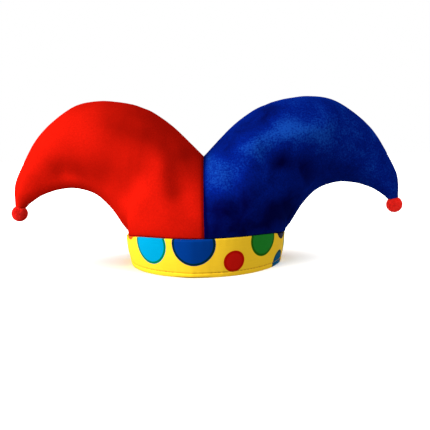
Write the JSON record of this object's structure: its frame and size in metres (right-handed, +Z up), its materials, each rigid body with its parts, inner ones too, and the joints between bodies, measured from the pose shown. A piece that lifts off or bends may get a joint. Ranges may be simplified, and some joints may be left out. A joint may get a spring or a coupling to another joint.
{
  "type": "clown hat",
  "caption": "Clown hat with a red and a blue curved velvet horn, each ending in a small pompom, on an oval padded band with polka dots.",
  "frame": {"origin": "middle of the oval rim, on the surface that the hat stands on", "axes": "+X towards the blue horn, -Y towards the front, +Z up"},
  "size_m": [0.4278, 0.1946, 0.1745],
  "materials": {
    "red_velvet": "short smooth red pile on a thin foam backing",
    "blue_velvet": "short mottled royal blue pile on a thin foam backing",
    "dotted_satin": "yellow satin with polka dots over padding",
    "red_yarn": "trimmed red yarn"
  },
  "bodies": {
    "root": {"red_front_panel": "red_velvet", "red_back_panel": "red_velvet", "blue_front_panel": "blue_velvet", "blue_back_panel": "blue_velvet", "dotted_band": "dotted_satin", "left_pompom": "red_yarn", "right_pompom": "red_yarn"}
  },
  "joints": []
}
